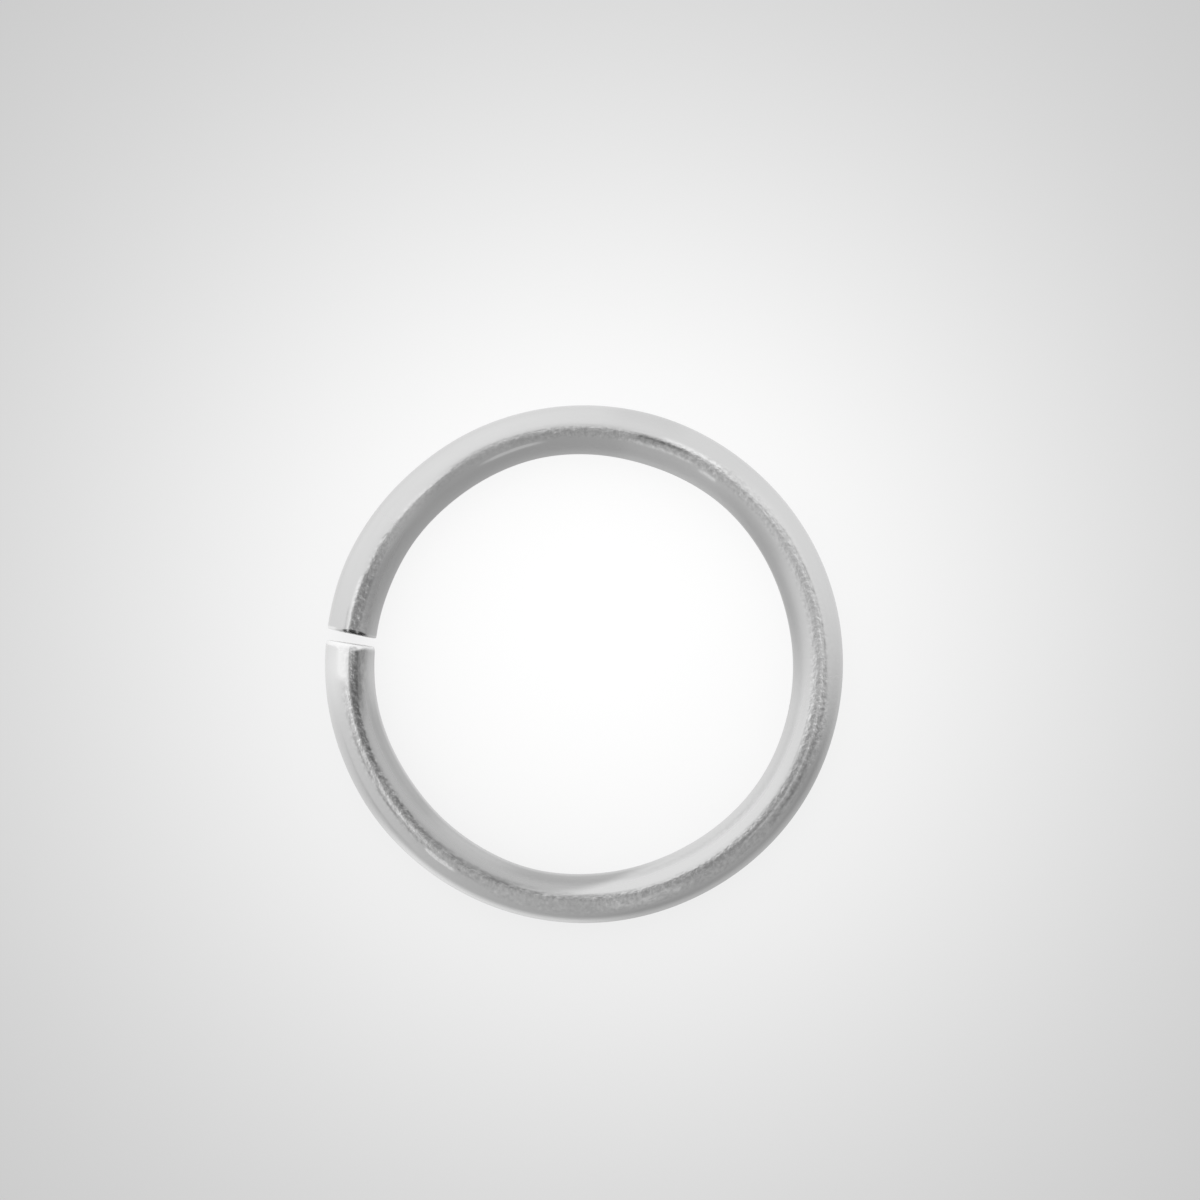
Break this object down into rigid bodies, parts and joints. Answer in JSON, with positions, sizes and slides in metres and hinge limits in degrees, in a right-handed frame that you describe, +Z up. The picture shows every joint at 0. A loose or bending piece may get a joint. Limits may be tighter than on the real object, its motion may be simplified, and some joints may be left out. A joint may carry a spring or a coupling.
{
  "type": "cartilage hoop",
  "caption": "Open hoop of round silver wire with two square-cut ends and a narrow gap between them, worn through a piercing in the ear's cartilage.",
  "frame": {"origin": "on the surface that the hoop lies on, below the middle of its outline", "axes": "+Z up along the loop's axis, as the hoop lies on its side; -X points at the cut, which is 6.3 degrees from -X towards +Y"},
  "size_m": [0.0126, 0.0126, 0.0012],
  "materials": {
    "worn_silver": "drawn and rubbed sterling silver, satin, with fine lengthwise lines and small nicks"
  },
  "bodies": {
    "root": {"hoop": "worn_silver"}
  },
  "joints": []
}
